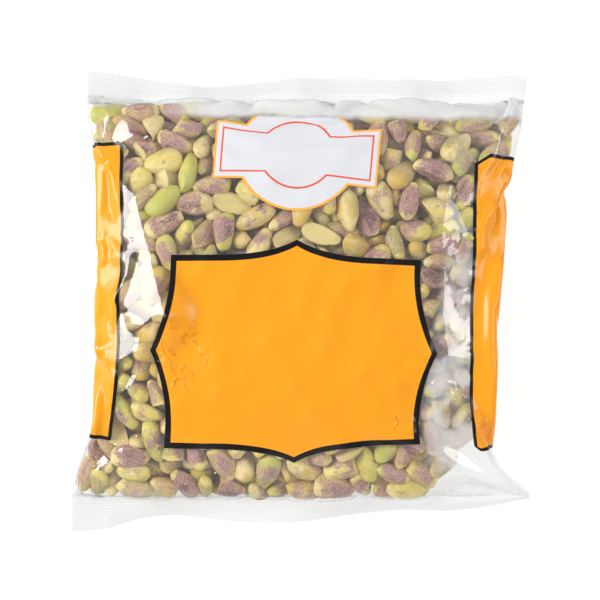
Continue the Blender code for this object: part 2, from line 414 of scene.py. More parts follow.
def shaped(number):
    """What a mesh needs of one kernel: points in the bag, their own places and the bare flesh."""
    grid = FINE_GRID if seen[number] else PLAIN_GRID
    points, bare = kernel_shape(kinds[number], grid, np.random.default_rng(1000 + number))
    place = points @ axes_of(axis[number], roll[number]) * KERNEL_LENGTH * size[number]
    place += middle[number]
    place[:, 2] = np.maximum(place[:, 2], UNDER_FILM)
    return place, points, bare, grid[2], grid[3]


kernels = [shaped(number) for number in range(count)]
print("points of all kernels", sum(len(kernel[0]) for kernel in kernels))

# %% [markdown]
# The kernels are joined into a few meshes, each of one kind and under two hundred thousand faces. A
# rim kernel stays a mesh of its own, because it stands for a CAD node. Each point keeps its place in
# its own kernel, and three random numbers of that kernel, as attributes: the materials read those, so
# one material gives every kernel its own colour.

# %% Join kernels into meshes


def mesh_object(name, points, corners, sizes, material=None):
    """A smooth mesh object from its points, the corners of its faces and how many each face has."""
    mesh = bpy.data.meshes.new(name)
    mesh.vertices.add(len(points))
    mesh.vertices.foreach_set("co", np.asarray(points, np.float32).ravel())
    mesh.loops.add(len(corners))
    mesh.loops.foreach_set("vertex_index", corners.astype(np.int32))
    mesh.polygons.add(len(sizes))
    mesh.polygons.foreach_set("loop_start", np.append(0, np.cumsum(sizes)[:-1]).astype(np.int32))
    mesh.update(calc_edges=True)
    mesh.shade_smooth()
    made = bpy.data.objects.new(name, mesh)
    bpy.context.scene.collection.objects.link(made)
    if material:
        mesh.materials.append(material)
    return made


def keep_attribute(made, name, kind, values):
    """Stores one value per point on a mesh, for its material to read."""
    kept = made.data.attributes.new(name, kind, "POINT")
    field = "vector" if kind == "FLOAT_VECTOR" else "value"
    kept.data.foreach_set(field, np.asarray(values, np.float32).ravel())


def kernel_object(name, numbers, material):
    """One mesh of the kernels with these numbers."""
    spots, places, bares, corners, sizes = zip(*(kernels[number] for number in numbers))
    starts = np.cumsum([0] + [len(spot) for spot in spots[:-1]])
    corners = np.concatenate([its + start for its, start in zip(corners, starts)])
    owners = [np.tile(draws[number], (len(spot), 1)) for number, spot in zip(numbers, spots)]
    made = mesh_object(name, np.concatenate(spots), corners, np.concatenate(sizes), material)
    keep_attribute(made, "kernel_place", "FLOAT_VECTOR", np.concatenate(places))
    keep_attribute(made, "kernel_draw", "FLOAT_VECTOR", np.concatenate(owners))
    keep_attribute(made, "kernel_bare", "FLOAT", np.concatenate(bares))
    return made


print("kernels of each kind", np.bincount(kinds))

# %% [markdown]
# ## Helpers for materials
#
# Every material below is built from nodes. A sum in nodes takes one Math node for each of its steps,
# which makes long lists of links. So an output is wrapped in a small class that can be added,
# multiplied and so on: a + b * 2 then adds the Math nodes and links them, and still reads as a sum.

# %% Sums in nodes
NUMBER, COLOUR, VECTOR = "NodeSocketFloat", "NodeSocketColor", "NodeSocketVector"


class Output:
    """A node's output, which takes part in sums as a number does."""

    def __init__(self, socket):
        self.socket = socket
        self.tree = socket.id_data

    def __add__(self, other):
        return calculate("ADD", self, other)

    def __sub__(self, other):
        return calculate("SUBTRACT", self, other)

    def __rsub__(self, other):
        return calculate("SUBTRACT", other, self)

    def __mul__(self, other):
        return calculate("MULTIPLY", self, other)

    def __truediv__(self, other):
        return calculate("DIVIDE", self, other)

    def __pow__(self, other):
        return calculate("POWER", self, other)

    def __abs__(self):
        return calculate("ABSOLUTE", self)


def fill(node, inputs):
    """Fills a node's sockets with numbers, colours or the outputs of other nodes."""
    for socket, value in inputs.items():
        if isinstance(value, Output):
            value.tree.links.new(value.socket, node.inputs[socket])
        else:
            node.inputs[socket].default_value = value
    return node


def add(tree, kind, inputs=None, output=0, **settings):
    """Adds a node with its settings and inputs, and gives one of its outputs."""
    made = tree.nodes.new(kind)
    for name, value in settings.items():
        setattr(made, name, value)
    return Output(fill(made, inputs or {}).outputs[output])


def calculate(operation, *values):
    """The output of a Math node."""
    tree = next(value.tree for value in values if isinstance(value, Output))
    return add(tree, "ShaderNodeMath", dict(enumerate(values)), operation=operation)


def larger(first, second):
    return calculate("MAXIMUM", first, second)


def smaller(first, second):
    return calculate("MINIMUM", first, second)


print("kinds of socket", NUMBER, COLOUR, VECTOR)

# %% Ranges, colours, vectors and noise


def remap(value, low, high, to_low=0.0, to_high=1.0):
    """A value moved smoothly from one range to another, and held at its ends."""
    inputs = {"Value": value, "From Min": low, "From Max": high, "To Min": to_low, "To Max": to_high}
    return add(value.tree, "ShaderNodeMapRange", inputs, interpolation_type="SMOOTHSTEP")


def blend_of(share, first, second):
    """A colour between two others."""
    inputs = {"Factor": share, "A": first, "B": second}
    return add(share.tree, "ShaderNodeMix", inputs, "Result", data_type="RGBA")


def layered(tint, *layers):
    """A colour with others laid over it, each by a value and the two ranges that it is moved between."""
    for colour, value, *ranges in layers:
        tint = blend_of(remap(value, *ranges), tint, colour)
    return tint


def split(vector):
    """The three numbers of a vector."""
    made = fill(vector.tree.nodes.new("ShaderNodeSeparateXYZ"), {0: vector})
    return [Output(part) for part in made.outputs]


def vectors(operation, vector, other=None):
    """The output of a Vector Math node."""
    inputs = {0: vector} if other is None else {0: vector, 1: other}
    output = "Value" if operation == "LENGTH" else "Vector"
    return add(vector.tree, "ShaderNodeVectorMath", inputs, output, operation=operation)


def in_mm(place):
    return vectors("MULTIPLY", place, (1 / MM, 1 / MM, 1 / MM))


def noise(vector, scale, detail):
    return add(vector.tree, "ShaderNodeTexNoise", {"Vector": vector, "Scale": scale, "Detail": detail})


def bump_of(height, strength, distance, **under):
    """A normal raised by a height, over another normal where one is given."""
    inputs = {"Height": height, "Strength": strength, "Distance": distance * MM, **under}
    return add(height.tree, "ShaderNodeBump", inputs)


print("a place in mm is", 1 / MM, "times the place in m")

# %% Attributes, groups and materials


def attribute(tree, name, output):
    """What a mesh keeps for each of its points under this name."""
    return add(tree, "ShaderNodeAttribute", output=output, attribute_name=name)


def new_group(name, inputs, outputs):
    """An empty node group, its typed inputs to build on, and the node that its results go to."""
    tree = bpy.data.node_groups.new(name, "ShaderNodeTree")
    for way, sockets in (("INPUT", inputs), ("OUTPUT", outputs)):
        for label, kind in sockets.items():
            tree.interface.new_socket(label, in_out=way, socket_type=kind)
    source = tree.nodes.new("NodeGroupInput")
    return tree, [Output(source.outputs[label]) for label in inputs], tree.nodes.new("NodeGroupOutput")


def place_group(tree, group, inputs):
    """Places a node group in a material, fills its sockets and gives its outputs by name."""
    made = tree.nodes.new("ShaderNodeGroup")
    made.node_tree = group
    return {socket.name: Output(socket) for socket in fill(made, inputs).outputs}


def new_material(name):
    """A material with its node tree and its Principled BSDF."""
    made = bpy.data.materials.new(name)
    made.use_nodes = True
    return made, made.node_tree, made.node_tree.nodes["Principled BSDF"]


print("node groups so far", len(bpy.data.node_groups))

# %% [markdown]
# ## The kernels' colours
#
# Fresh pistachio flesh runs from lime through yellow to gold, and it is darker green just under the
# skin. The skin is a thin paper, tan to mauve and purple, which clings to the belly and rubs off the
# ends and edges. Both effects serve every kind of kernel, so each is a node group, and the kinds
# differ only in how much skin they keep.

# %% Colours of flesh and skin
LIME = (0.56, 0.55, 0.085, 1)
YELLOW = (0.79, 0.63, 0.155, 1)
CREAM = (0.82, 0.67, 0.315, 1)
GOLD = (0.68, 0.44, 0.075, 1)
TAN = (0.59, 0.375, 0.185, 1)
MAUVE = (0.43, 0.22, 0.205, 1)
PURPLE = (0.17, 0.065, 0.075, 1)
OLIVE = (0.47, 0.405, 0.13, 1)
DRAW_SPREAD = (37, 41, 43)  # how far a kernel's random numbers shift its noise


def stretched_noise(place, draw, scale, along, detail=3.0):
    """Noise in a kernel's own space, stretched along the kernel where along is under 1."""
    squeezed = vectors("MULTIPLY", place, (along, 1, 1))
    return noise(vectors("ADD", squeezed, vectors("MULTIPLY", draw, DRAW_SPREAD)), scale, detail)


print("flesh from", LIME[:3], "to", GOLD[:3])

# %% The flesh as a node group
OWN_SPACE = {"Place": VECTOR, "Draw": VECTOR}


def build_flesh_tint():
    """Colour of the flesh: greener with Freshness, and olive at the edge where the skin was."""
    tree, own, out = new_group("flesh_tint", {**OWN_SPACE, "Freshness": NUMBER}, {"Colour": COLOUR})
    place, draw, freshness = own
    patch = stretched_noise(place, draw, 3.0, 0.6)
    streak = stretched_noise(place, draw, 22.0, 0.15)
    spots = stretched_noise(place, draw, 9.0, 0.7, 5.0)
    edge = abs(split(place)[1])
    warm = split(draw)[1] + (patch - 0.5) * 0.9 - (freshness - 0.5)
    tint = layered(
        blend_of(remap(warm, -0.05, 0.35), LIME, YELLOW),
        (CREAM, warm, 0.40, 0.65),
        (GOLD, warm, 0.65, 0.95),
        (GOLD, streak, 0.50, 0.80, 0.0, 0.5),
        (OLIVE, spots, 0.52, 0.72, 0.0, 0.6),
        (OLIVE, edge, 0.14, 0.30, 0.0, 0.5),
    )
    fill(out, {"Colour": tint})
    return tree


flesh_tint = build_flesh_tint()
print(flesh_tint.name, len(flesh_tint.nodes), "nodes")

# %% The skin as two node groups


def build_skin_tint():
    """Colour of the skin: darker on the belly, with veins and specks in it."""
    tree, (place, draw), out = new_group("skin_tint", OWN_SPACE, {"Colour": COLOUR})
    patch = stretched_noise(place, draw, 4.5, 0.7)
    vein = stretched_noise(place, draw, 26.0, 0.12, 5.0)
    speck = stretched_noise(place, draw, 34.0, 0.8, 4.0)
    along, across, _ = split(place)
    edge = abs(across) * 2.2 + abs(along) * 0.9
    dark = split(draw)[2] + (patch - 0.5) * 1.4 - edge + 0.34
    tint = layered(
        blend_of(remap(dark, -0.15, 0.20), OLIVE, TAN),
        (MAUVE, dark, 0.20, 0.60),
        (PURPLE, dark, 0.80, 1.20),
        (PURPLE, vein, 0.50, 0.74, 0.0, 0.45),
        (CREAM, vein, 0.28, 0.45, 0.4, 0.0),
        (CREAM, speck, 0.54, 0.68, 0.0, 0.6),
        (PURPLE, speck, 0.32, 0.46, 0.65, 0.0),
    )
    fill(out, {"Colour": tint})
    return tree


def build_skin_cover():
    """Where the skin is left: less at the ends, with a crumbled edge."""
    tree, own, out = new_group("skin_cover", {**OWN_SPACE, "Keep": NUMBER}, {"Mask": NUMBER})
    place, draw, keep = own
    tip = remap(abs(split(place)[0]), 0.22, 0.5, 0.0, 0.42)
    patch = stretched_noise(place, draw, 2.6, 0.75, 4.0)
    crumb = stretched_noise(place, draw, 17.0, 0.6, 4.0)
    hold = patch + (split(draw)[0] - 0.5) * 0.45 + keep - tip + (crumb - 0.5) * 0.35
    fill(out, {"Mask": remap(hold, 0.86, 1.04)})
    return tree


skin_tint, skin_cover = build_skin_tint(), build_skin_cover()
for group in (skin_tint, skin_cover):
    print(group.name, len(group.nodes), "nodes")

# %% One material for each kind of kernel


def kernel_material(name, keep, freshness, roughness):
    """Kernel material: keep is how much skin is left, and freshness how green the flesh is."""
    made, tree, shader = new_material(name)
    place = attribute(tree, "kernel_place", "Vector")
    draw = attribute(tree, "kernel_draw", "Vector")
    bare = attribute(tree, "kernel_bare", "Fac")
    own = {"Place": place, "Draw": draw}
    flesh = place_group(tree, flesh_tint, {**own, "Freshness": freshness})["Colour"]
    skin = place_group(tree, skin_tint, own)["Colour"]
    cover = place_group(tree, skin_cover, {**own, "Keep": keep})["Mask"]
    cut = layered(flesh, (CREAM, bare, 0.2, 0.8, 0.0, 0.6))
    cover = cover * remap(bare, 0.3, 0.7, 1.0, 0.0)
    fine = stretched_noise(place, draw, 30.0, 0.25, 5.0)
    looks = {
        "Base Color": blend_of(cover, cut, skin),
        "Roughness": remap(cover, 0.0, 1.0, roughness, roughness + 0.15),
        "Normal": bump_of(fine + cover * 0.35, 0.75, 0.35),
    }
    fill(shader, looks)
    return made


# For each kind: the name of its pieces, the name of its material, and the material's skin,
# freshness and roughness.
KIND_LOOKS = {
    WHOLE: ("whole_kernels", "skinned_kernel", 0.56, 0.53, 0.50),
    PEELED: ("peeled_kernels", "peeled_kernel", 0.36, 0.56, 0.42),
    HALF: ("half_kernels", "half_kernel", 0.55, 0.50, 0.45),
    BROKEN: ("broken_kernels", "broken_kernel", 0.50, 0.45, 0.50),
}
kernel_materials = {kind: kernel_material(*look) for kind, (_, *look) in KIND_LOOKS.items()}
print("kernel materials", *(made.name for made in kernel_materials.values()))

# %% Make the kernels' pieces
KERNELS_PER_MESH = 130

kernel_pieces = []
loose = np.arange(LOOSE_KERNELS)
for kind, (name, *_) in KIND_LOOKS.items():
    own = loose[kinds[:LOOSE_KERNELS] == kind]
    own = own[np.argsort(middle[own, 0])]
    for part, start in enumerate(range(0, len(own), KERNELS_PER_MESH)):
        numbers = own[start : start + KERNELS_PER_MESH]
        piece = kernel_object(f"{name}_{part + 1}", numbers, kernel_materials[kind])
        kernel_pieces.append(piece)
        print(piece.name, len(numbers), "kernels", len(piece.data.polygons), "faces")
rim_pieces = {}
for number, node in enumerate(rim_nodes, LOOSE_KERNELS):
    rim_pieces[node] = kernel_object(f"rim_{node}", [number], kernel_materials[kinds[number]])

# %% [markdown]
# ## The film over the kernels
#
# What makes a filled bag look real is how its film gathers. The web is flat and can't stretch, so where
# the bag is narrower than the web, the film must fold, and over the kernels it goes straight from one
# high point to the next. Modelling those facets by hand would look random, and Blender's cloth would
# take minutes over a thousand colliders. So the film is solved here as a net of points. Each link of
# the net wants the length it has in the flat web, kernels push the points out, and gravity draws them
# in. A coarse net finds the large folds first, and a net of twice the fineness then sharpens them.

# %% The flat web and where it starts from
SEAL_LEVEL = 10 * MM
FILM_GAP = 0.25 * MM  # between the film and what it touches
SIDE_ROOM = 0.6 * MM
SNUG = 0.945  # girth in the middle of the bag, as a share of the web's: fine creases take the rest
TOP_SEAL_ENDS = (-85.4 * MM, 90.4 * MM)  # the top seal is gathered, and the bottom one lies flat
BOTTOM_SEAL_ENDS = (-92.0 * MM, 92.8 * MM)
TOP_WAVES = ((2.5, 42, 1.7), (1.1, 23, 2.0))  # height in mm, length in mm, phase
BOTTOM_WAVES = ((0.8, 75, 1.9), (0.5, 31, 0.4))
SEAL_PULL = ((1, 0.72), (2, 0.45), (3, 0.25), (4, 0.1))  # rows from a seal, and its pull on each

path_step = np.hypot(np.diff(stations), np.diff(station_front))
path_length = np.append(0, np.cumsum(path_step))
web_length = path_length[-1]
half_girth = flat_width
print("web", round(2 * half_girth / MM), "mm round,", round(web_length / MM, 1), "mm between the seals")


def across_web(columns):
    """How far each column of the net is from the front's middle, along the flat web."""
    return np.linspace(-1, 1, columns, endpoint=False) * half_girth


def waves_at(x, waves):
    """Height of a seal over its level, for distances along it."""
    return sum(a * MM * np.sin(2 * np.pi * x / (length * MM) + phase) for a, length, phase in waves)


def section_at(y, columns):
    """The film's cross-section at y as points an equal length apart, from the front middle round."""
    w, f, b = width_at(y), front_at(y), back_at(y)
    middle, press = (f + b) / 2, PRESSED_HALF_WIDTH
    turn = np.linspace(0, np.pi / 2, 60)
    across, up = np.sin(turn) ** (2 / FRONT_POWER), np.cos(turn) ** (2 / FRONT_POWER)
    top = np.stack([w * across, middle + (f - middle) * up])
    across, down = np.cos(turn) ** (2 / BACK_POWER), np.sin(turn) ** (2 / BACK_POWER)
    low = np.stack([press + (w - press) * across, middle - (middle - b) * down])
    half = np.concatenate([top, low[:, 1:], [[0], [b]]], axis=1)
    length = np.append(0, np.cumsum(np.hypot(*np.diff(half))))
    share = np.linspace(-1, 1, columns, endpoint=False)
    side = np.sign(share + 1e-9)
    x, z = (np.interp(np.abs(share) * length[-1], length, row) for row in half)
    return np.stack([x * side + centre_at(y), np.full(columns, y), z], axis=1)


def seal_line(columns, ends, waves, y):
    """Where the web meets a seal: both of its layers lie on one line."""
    s = across_web(columns)
    across = np.sign(s + 1e-9) * np.minimum(np.abs(s), half_girth - np.abs(s))
    x = np.interp(across, [-half_girth / 2, half_girth / 2], ends)
    gap = np.where(np.abs(s) < half_girth / 2, 0.1, -0.1) * MM
    return np.stack([x, np.full(columns, y), SEAL_LEVEL + waves_at(x, waves) + gap], axis=1)


def start_net(rows, columns):
    """The net on the bag's sections, drawn together towards both seals."""
    ys = np.interp(np.linspace(0, web_length, rows), path_length, stations)
    net = np.stack([section_at(y, columns) for y in ys])
    net[0] = seal_line(columns, BOTTOM_SEAL_ENDS, BOTTOM_WAVES, -body_half)
    net[-1] = seal_line(columns, TOP_SEAL_ENDS, TOP_WAVES, body_half)
    for row, share in SEAL_PULL:
        for near, seal in ((row, 0), (rows - 1 - row, rows - 1)):
            shift = net[seal] * share + net[near] * (1 - share)
            net[near, :, 0], net[near, :, 2] = shift[:, 0], shift[:, 2]
    return net


print("girth of the middle section", round(2 * half_girth * SNUG / MM), "mm")

# %% Surfaces of the kernels that the film rests on
FIELD_STEP = 0.6 * MM
FIELD_CELLS = 360
FIELD_SLOPE = 0.5 * MM  # least height that a cell keeps below its highest neighbour


def height_field(points, flat, up, sign):
    """The highest point of the kernels over each cell of a plane: flat names the plane's two axes."""
    cells = np.round(points[:, flat] / FIELD_STEP).astype(int) + FIELD_CELLS // 2
    field = np.full((FIELD_CELLS, FIELD_CELLS), -1.0)
    np.maximum.at(field, (cells[:, 0], cells[:, 1]), points[:, up] * sign)
    around = [np.roll(np.roll(field, i, 0), j, 1) for i in (-1, 0, 1) for j in (-1, 0, 1)]
    near = np.max(around, axis=0)
    return np.where(field < 0, near, np.maximum(field, near - FIELD_SLOPE))


def read_field(field, first, second):
    """The field between its cells."""
    half = FIELD_CELLS // 2
    u, v = (np.clip(at / FIELD_STEP + half, 0, FIELD_CELLS - 2) for at in (first, second))
    i, j = u.astype(int), v.astype(int)
    p, q = u - i, v - j
    low = field[i, j] * (1 - p) + field[i + 1, j] * p
    high = field[i, j + 1] * (1 - p) + field[i + 1, j + 1] * p
    return low * (1 - q) + high * q


def dense_points(number):
    """The points of a finely shaped kernel and the middles between them."""
    rings = kernels[number][0][:-2].reshape(26, 26, 3)
    rings = np.concatenate([rings, (rings + np.roll(rings, -1, axis=1)) / 2], axis=1)
    return np.concatenate([rings, (rings[1:] + rings[:-1]) / 2]).reshape(-1, 3)


all_points = np.concatenate([dense_points(number) for number in np.nonzero(seen)[0]])
kernel_top = height_field(all_points, [0, 1], 2, 1)
kernel_right = height_field(all_points, [1, 2], 0, 1)
kernel_left = height_field(all_points, [1, 2], 0, -1)
print("height fields from", len(all_points), "kernel points")

# %% The links of the net
DIAGONAL_GIVE, BEND_GIVE = 0.35, 0.3  # how much of a wrong length one step puts right
BEND_SHARE = 0.97  # points two apart come no nearer than this share of two links


def net_links(rows, columns, girth, length):
    """Links of the net in sets in which no point comes twice: first, second, rest and softness."""
    number = np.arange(rows * columns).reshape(rows, columns)
    end_share = np.abs(np.linspace(-1, 1, rows)) ** 5
    across = np.repeat(girth / columns * (SNUG + (1 - SNUG) * end_share), columns)
    along = length / (rows - 1)
    diagonal = np.hypot(across, along)
    links = []

    def link(first, second, rest, give, bend=False):
        rest = rest[first.ravel()] if np.ndim(rest) else rest
        links.append((first.ravel(), second.ravel(), rest, give, bend))

    turned = np.roll(number, -1, axis=1)
    for start in (0, 1):
        link(number[:, start::2], turned[:, start::2], across, 1.0)
        tops = number[1:][start::2]
        link(number[:-1][start::2], tops, along, 1.0)
        for odd in (0, 1):
            link(number[:-1][start::2][:, odd::2], turned[1:][start::2][:, odd::2], diagonal, DIAGONAL_GIVE)
            link(turned[:-1][start::2][:, odd::2], number[1:][start::2][:, odd::2], diagonal, DIAGONAL_GIVE)
    twice = np.roll(number, -2, axis=1)
    for start in (0, 1, 2, 3):
        if start < 2:
            for odd in (0, 1):
                pick = np.arange(odd * 2 + start, columns, 4)
                link(number[:, pick], twice[:, pick], 2 * across * BEND_SHARE, BEND_GIVE, True)
        pick = np.arange(start, rows - 2, 4)
        link(number[pick], number[pick + 2], 2 * along * BEND_SHARE, BEND_GIVE, True)
    return links


def hold_length(net, links):
    """Moves both ends of each link so that it has its length in the flat web."""
    for first, second, rest, give, bend in links:
        way = net[second] - net[first]
        length = np.sqrt(np.einsum("ij,ij->i", way, way)) + 1e-9
        short = (length - rest) / length
        if bend:
            short = np.minimum(short, 0)
        push = way * (short * give / 2)[:, None]
        net[first] += push
        net[second] -= push


print("sets of links", len(net_links(8, 16, 1.0, 1.0)))

# %% Hold the net off the kernels and the table
# Distances from the front's middle along the flat web: where the front ends, and the flanks.
FRONT_END, FLANK_START, FLANK_END = 92 * MM, 76 * MM, 110 * MM
TABLE_GAP = 0.12 * MM
LAYER_GAP = 0.3 * MM  # between the front and the back of the film


def hold_off(net, columns):
    """Keeps the net outside the kernels, above the table and its front above its back."""
    s = np.abs(across_web(columns))
    front, side = s < FRONT_END, (s > FLANK_START) & (s < FLANK_END)
    x, y, z = net[:, front, 0], net[:, front, 1], net[:, front, 2]
    net[:, front, 2] = np.maximum(z, read_field(kernel_top, x, y) + FILM_GAP)
    flank = net[:, side]
    right = flank[:, :, 0] > 0
    fields = (read_field(field, flank[:, :, 1], flank[:, :, 2]) for field in (kernel_right, kernel_left))
    reach = np.where(right, *fields)
    reach = np.where(reach > 0, reach + FILM_GAP, 0)
    outer, inner = np.maximum(flank[:, :, 0], reach), np.minimum(flank[:, :, 0], -reach)
    net[:, side, 0] = np.where(right, outer, inner)
    left, right = sides_at(net[:, :, 1])
    net[:, :, 0] = np.clip(net[:, :, 0], left - SIDE_ROOM, right + SIDE_ROOM)
    net[:, :, 2] = np.maximum(net[:, :, 2], TABLE_GAP)
    mirror = (columns // 2 - np.arange(columns)) % columns
    over = net[:, front, 2] - net[:, mirror[front], 2]
    lift = np.maximum(LAYER_GAP - over, 0) / 2
    net[:, front, 2] += lift
    net[:, mirror[front], 2] -= lift


print("front of the web", round(2 * FRONT_END / MM), "mm wide")

# %% Drape the net, and make it finer
DAMPING = 0.9
PASSES = 2  # rounds of putting lengths right in each step


def drape(net, steps, weight, held=None):
    """Lets the net move under its weight for some steps. Held points stay where they are."""
    rows, columns = net.shape[:2]
    links = net_links(rows, columns, 2 * half_girth, web_length)
    ends = net[[0, -1]].copy()
    before, start = net.copy(), net.copy()
    fall = np.where(np.abs(across_web(columns)) < FRONT_END, -weight, 0)[None, :]
    for _ in range(steps):
        moving = (net - before) * DAMPING
        before = net.copy()
        net = net + moving
        net[:, :, 2] += fall
        flat = net.reshape(-1, 3)
        for _ in range(PASSES):
            hold_length(flat, links)
        net = flat.reshape(rows, columns, 3)
        hold_off(net, columns)
        net[[0, -1]] = ends
        if held is not None:
            net[held] = start[held]
    return net


def finer(net):
    """The net with twice the points each way."""
    rows, columns = net.shape[:2]
    wide = np.empty((rows, columns * 2, 3))
    wide[:, ::2] = net
    wide[:, 1::2] = (net + np.roll(net, -1, axis=1)) / 2
    t, fine_t = np.arange(rows), np.linspace(0, rows - 1, rows * 2)
    low = np.minimum(fine_t.astype(int), rows - 2)
    share = (fine_t - low)[:, None, None]
    return wide[low] * (1 - share) + wide[low + 1] * share


print("5 by 8 points become", finer(np.zeros((5, 8, 3))).shape[:2])

# %% [markdown]
# ## Hard facets
#
# Where a bag has been handled, its film holds a few stiff flat facets with sharp edges, most of them on
# the shoulders. Each facet below is a triangle in the plan of the bag. Its points are laid onto one
# plane that leans outwards and just clears the kernels, and the film around it is then drawn to it.

# %% The facets
FACET_FRONT = 90 * MM  # facets lie on the front, up to this distance from its middle along the web
# Corners in mm in plan, and the slope of the facet across and along the bag.
FACETS = (
    (((-66.6, 42), (-77, 25), (-60, 25)), (0.50, -0.05)),
    (((-60.5, 23), (-70.5, 0), (-50.5, -8)), (0.48, -0.05)),
    (((-71, -3), (-62.8, -21), (-77, -25)), (0.50, -0.05)),
    (((-66.5, -27), (-62, -28), (-75, -45)), (0.50, -0.05)),
    (((-74, -53), (-71, -63), (-82, -64)), (0.50, 0.06)),
    (((-70, 77), (-77, 62), (-64, 64)), (0.50, -0.10)),
    (((-82, 54), (-77, 56), (-80, 16)), (0.52, -0.05)),
    (((83, 50), (77, 46), (81, 6)), (-0.50, -0.05)),
    (((58, 48), (68, 24), (54, 20)), (-0.46, -0.05)),
    (((56, 16), (66, -14), (56, -24)), (-0.48, -0.05)),
)
print("facets", len(FACETS))

# %% Press the facets into the film


def in_triangle(x, y, corners):
    """Whether points lie in a triangle."""
    (ax, ay), (bx, by), (cx, cy) = (np.array(corner) * MM for corner in corners)
    ab = (bx - ax) * (y - ay) - (by - ay) * (x - ax)
    bc = (cx - bx) * (y - by) - (cy - by) * (x - bx)
    ca = (ax - cx) * (y - cy) - (ay - cy) * (x - cx)
    return ((ab > 0) & (bc > 0) & (ca > 0)) | ((ab < 0) & (bc < 0) & (ca < 0))


def press_facets(net):
    """Lays the points of each facet onto its plane. Gives the net and which points are held."""
    held = np.zeros(net.shape[:2], bool)
    front = np.abs(across_web(net.shape[1])) < FACET_FRONT
    for corners, (across, along) in FACETS:
        x, y, z = net[:, :, 0], net[:, :, 1], net[:, :, 2]
        inner = in_triangle(x, y, corners) & front[None, :]
        lean = across * x[inner] + along * y[inner]
        need = np.maximum(read_field(kernel_top, x[inner], y[inner]) + FILM_GAP, 0) - lean
        level = max(np.percentile(need, 97), np.median(z[inner] - lean)) if inner.any() else 0
        net[:, :, 2][inner] = lean + level
        held |= inner
    return net, held


print("middle in a triangle:", in_triangle(0.0, 0.0, ((-1, -1), (1, -1), (0, 2))))

# %% Drape the film
NET_ROWS, NET_COLUMNS = 70, 148
COARSE_STEPS, FINE_STEPS = ((150, 90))
FACET_STEPS = 24
COARSE_WEIGHT, FINE_WEIGHT = 0.008 * MM, 0.001 * MM
FIRST_UNEVENNESS = 0.15 * MM

net = start_net(NET_ROWS, NET_COLUMNS)
net[1:-1] += draw.normal(0, FIRST_UNEVENNESS, net[1:-1].shape)
net = drape(net, COARSE_STEPS, COARSE_WEIGHT)
net = drape(net, COARSE_STEPS // 2, 0)
net = finer(net)
net[0] = seal_line(2 * NET_COLUMNS, BOTTOM_SEAL_ENDS, BOTTOM_WAVES, -body_half)
net[-1] = seal_line(2 * NET_COLUMNS, TOP_SEAL_ENDS, TOP_WAVES, body_half)
net = drape(net, FINE_STEPS, FINE_WEIGHT)
net, held = press_facets(net)
net = drape(net, FACET_STEPS, 0, held)
lengths = np.linalg.norm(np.diff(net, axis=0), axis=2) * (2 * NET_ROWS - 1) / web_length
print("net of", net.shape[0], "by", net.shape[1], "points,", int(held.sum()), "of them held on facets")
print("lengths along it against the flat web: from", *np.percentile(lengths, [1, 50, 99]).round(3))
print("highest film", round(net[:, :, 2].max() / MM, 1), "mm")

# %% [markdown]
# ## The film as a mesh
#
# The net becomes one open sheet. Its last columns lap over its first ones and stand a little inside
# them, which is the long back seam of a pillow bag. Each point keeps its place in the flat web as an
# attribute, so a print bends and folds with the film.

# %% The sheet of the film
LAP_COLUMNS = 8
LAP_STEP = 0.15 * MM


def grid_faces(rows, columns):
    """Corners and sizes of the quads of a sheet of points."""
    number = np.arange(rows * columns).reshape(rows, columns)
    quads = np.stack([number[:-1, :-1], number[:-1, 1:], number[1:, 1:], number[1:, :-1]], axis=2)
    return quads.ravel(), np.full((rows - 1) * (columns - 1), 4)


rows, columns = net.shape[:2]
lap = net[:, : LAP_COLUMNS + 1].copy()
lap[:, 1:, 2] += LAP_STEP
sheet = np.concatenate([net, lap], axis=1)
flat_s = (np.arange(sheet.shape[1]) / columns * 2 - 1) * half_girth
flat_t = np.linspace(-web_length / 2, web_length / 2, rows)
flat_place = np.zeros(sheet.shape)
flat_place[:, :, 0] = flat_s
flat_place[:, :, 1] = flat_t[:, None]
print("sheet of", sheet.shape[0], "by", sheet.shape[1], "points with its lap")

# %% [markdown]
# ## The crimped seals
#
# At each end both layers of the web are welded between ribbed jaws. The weld is stiff, so it doesn't
# crumple: it waves slowly and tips up or down as one strip. It starts from the last row of the net, and
# its ribs run along it.

# %% Sizes of the seals
RIB_PITCH = 1.15 * MM
RIB_HEIGHT = 0.10 * MM
SEAL_ROW = 0.2 * MM
SEAL_WEB = SEAL_DEPTH * 1.06  # depth of a seal along its ribs' surface
LEAST_REACH = 0.7  # below this share of its depth a seal is narrower, not only tipped
BEND_SPEED = 2.2  # a seal is fully tipped at one part in this many of its depth
SEAL_GAP = 0.15 * MM
# How far the seal reaches over the table, in mm, at places along it in mm.
TOP_REACH = ((-87, 12.9), (-80, 12.4), (-70, 10.7), (-60, 9.1), (-50, 7.8), (-40, 6.2), (-30, 6.6))
TOP_REACH += ((-20, 7.8), (-10, 8.6), (0, 9.4), (20, 9.8), (40, 8.6), (60, 9.0), (80, 10.2), (85, 10.6))
TOP_REACH += ((89, 9.4), (91, 7.0))
BOTTOM_REACH = ((-92, 14.4), (-86, 14.0), (-80, 13.6), (-76, 12.8), (-70, 11.2), (-60, 9.2), (-50, 8.9))
BOTTOM_REACH += ((-40, 10.2), (-30, 11.0), (-20, 11.4), (-10, 11.8), (0, 11.3), (20, 9.0), (40, 6.4))
BOTTOM_REACH += ((60, 7.2), (80, 4.3), (87, 2.4), (93, 0.8))
# How far a strip is tipped, in radians, and the share of its depth that it then reaches.
TIPPED = np.linspace(0.001, 1.2, 200)
REACHED = np.sin(TIPPED) / TIPPED / BEND_SPEED + (1 - 1 / BEND_SPEED) * np.cos(TIPPED)
print("ribs on a seal", round(SEAL_WEB / RIB_PITCH))

# %% The points of a seal


